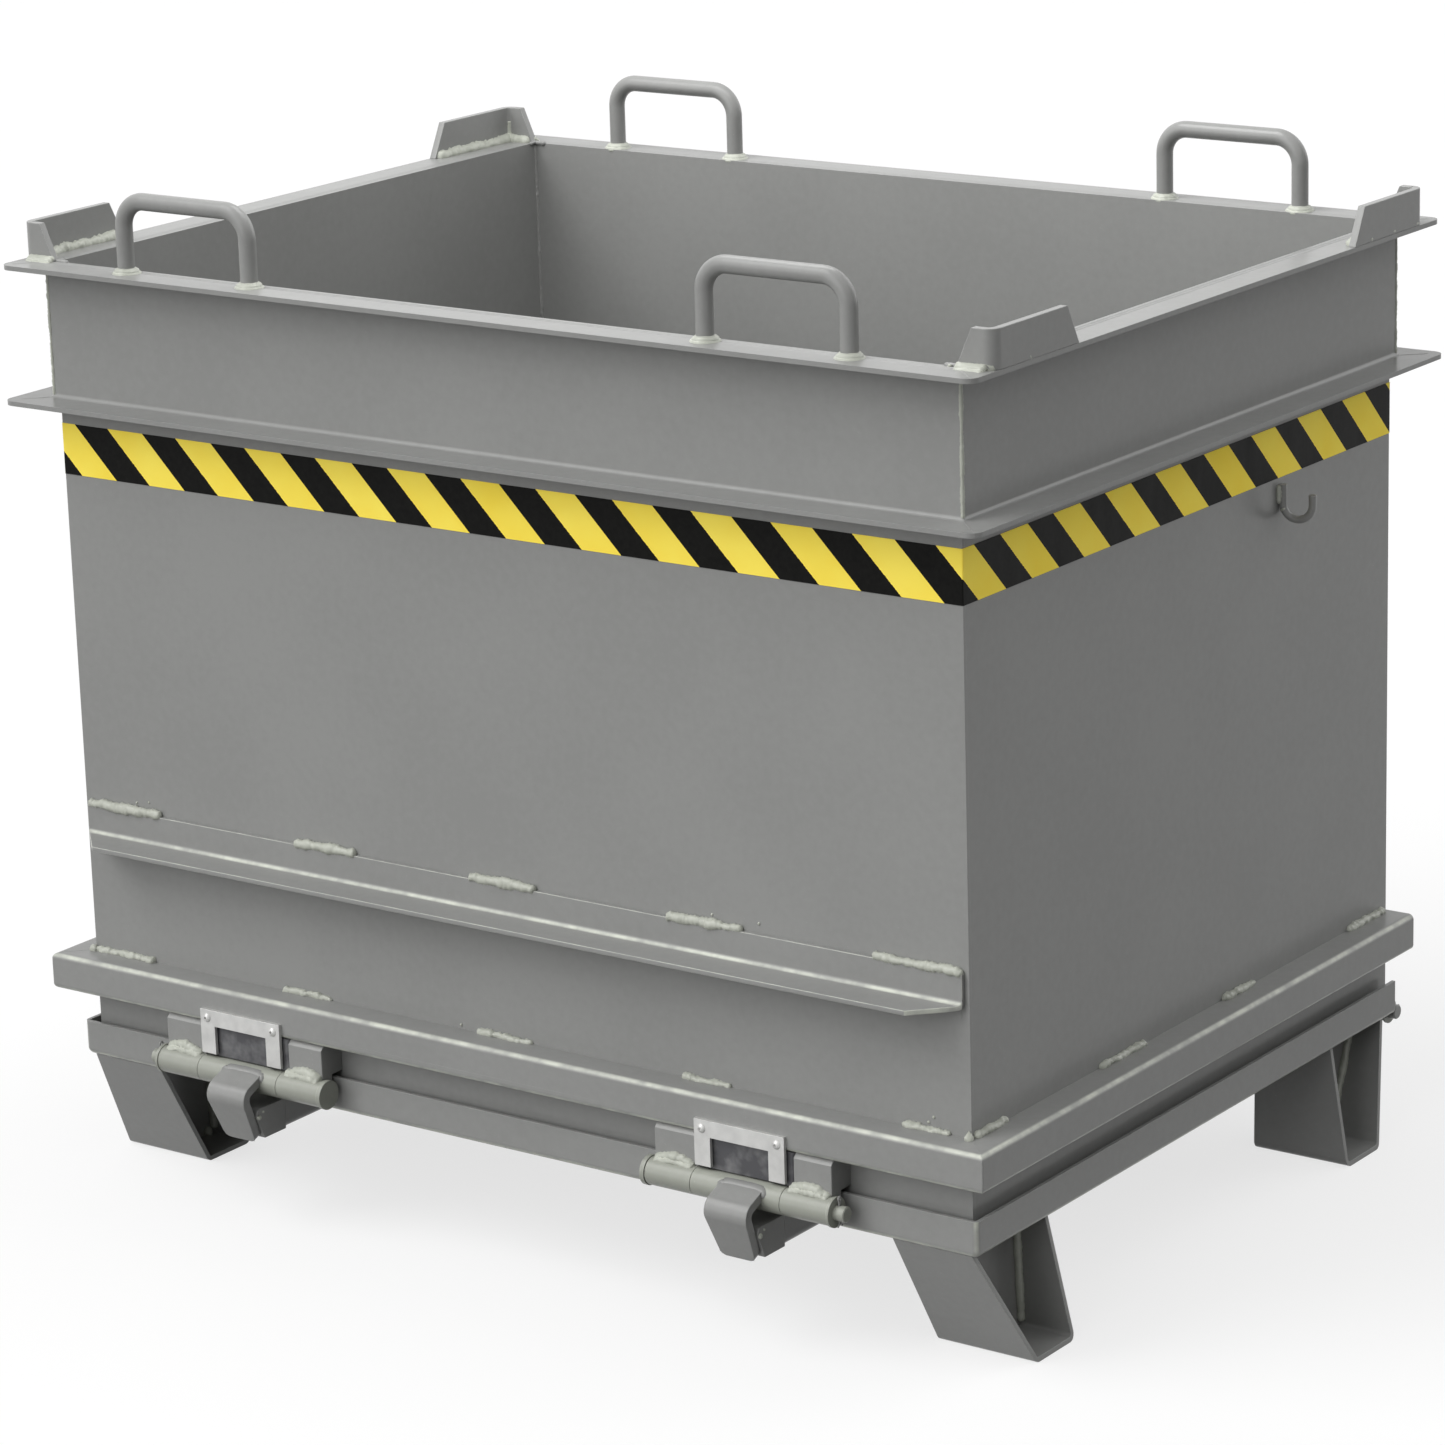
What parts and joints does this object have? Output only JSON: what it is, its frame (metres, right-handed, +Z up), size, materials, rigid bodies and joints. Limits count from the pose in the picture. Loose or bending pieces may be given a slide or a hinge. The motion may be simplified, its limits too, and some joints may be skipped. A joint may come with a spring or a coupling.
{
  "type": "hinged bottom hopper",
  "caption": "Welded steel hopper with an open top, a hinged floor tray on bent feet, spring backed floor hooks, lifting bows and stacking angles.",
  "frame": {"origin": "middle of the overall box in plan, on the ground under the feet", "axes": "+X to the right seen from the front, +Y to the rear, where the floor is hinged, +Z up"},
  "size_m": [1.208, 0.9405, 1.085],
  "materials": {
    "enamel": "satin mouse grey enamel over welded steel",
    "zinc": "bright zinc plate",
    "rubber": "matt black rubber",
    "tape": "yellow and black striped adhesive tape"
  },
  "bodies": {
    "hopper": {"front_wall": "enamel", "rear_wall": "enamel", "left_wall": "enamel", "right_wall": "enamel", "collar_front": "enamel", "collar_rear": "enamel", "collar_left": "enamel", "collar_right": "enamel", "base_channel_front": "enamel", "base_channel_left": "enamel", "base_channel_right": "enamel", "front_rail": "enamel", "stacking_angle_front_right": "enamel", "stacking_angle_front_left": "enamel", "stacking_angle_rear_right": "enamel", "stacking_angle_rear_left": "enamel", "lifting_bow_front_right": "enamel", "lifting_bow_front_left": "enamel", "lifting_bow_rear_right": "enamel", "lifting_bow_rear_left": "enamel", "chain_hook": "enamel", "tape_front": "tape", "tape_rear": "tape", "tape_left": "tape", "tape_right": "tape", "latch_barrels_left": "enamel", "latch_blocks_left": "enamel", "latch_pin_left": "enamel", "rubber_buffer_left": "rubber", "buffer_plate_left": "zinc", "latch_barrels_right": "enamel", "latch_blocks_right": "enamel", "latch_pin_right": "enamel", "rubber_buffer_right": "rubber", "buffer_plate_right": "zinc", "buffer_screws": "zinc", "washers": "enamel", "cotters": "enamel", "hinge_rod": "enamel", "hinge_knuckles_body": "enamel"},
    "flap": {"foot_rib_front_left": "enamel", "foot_rib_front_right": "enamel", "foot_rib_rear_left": "enamel", "foot_rib_rear_right": "enamel", "tray": "enamel", "runner_left": "enamel", "runner_right": "enamel", "keeper_left": "enamel", "keeper_right": "enamel", "foot_front_left": "enamel", "foot_front_right": "enamel", "foot_rear_left": "enamel", "foot_rear_right": "enamel", "hinge_knuckles_flap": "enamel"},
    "hook_left": {"hook_barrel_left": "enamel", "hook_claw_left": "enamel"},
    "hook_right": {"hook_barrel_right": "enamel", "hook_claw_right": "enamel"}
  },
  "joints": [
    {"name": "flap_hinge", "type": "hinge", "parent": "hopper", "child": "flap", "pos_m": [0, 0.446, 0.1275], "axis": [1, 0, 0], "range_deg": [0, 90]},
    {"name": "hook_left_pivot", "type": "hinge", "parent": "hopper", "child": "hook_left", "pos_m": [-0.3285, -0.426, 0.157], "axis": [-1, 0, 0], "range_deg": [0, 45]},
    {"name": "hook_right_pivot", "type": "hinge", "parent": "hopper", "child": "hook_right", "pos_m": [0.3135, -0.426, 0.157], "axis": [-1, 0, 0], "range_deg": [0, 45]}
  ]
}
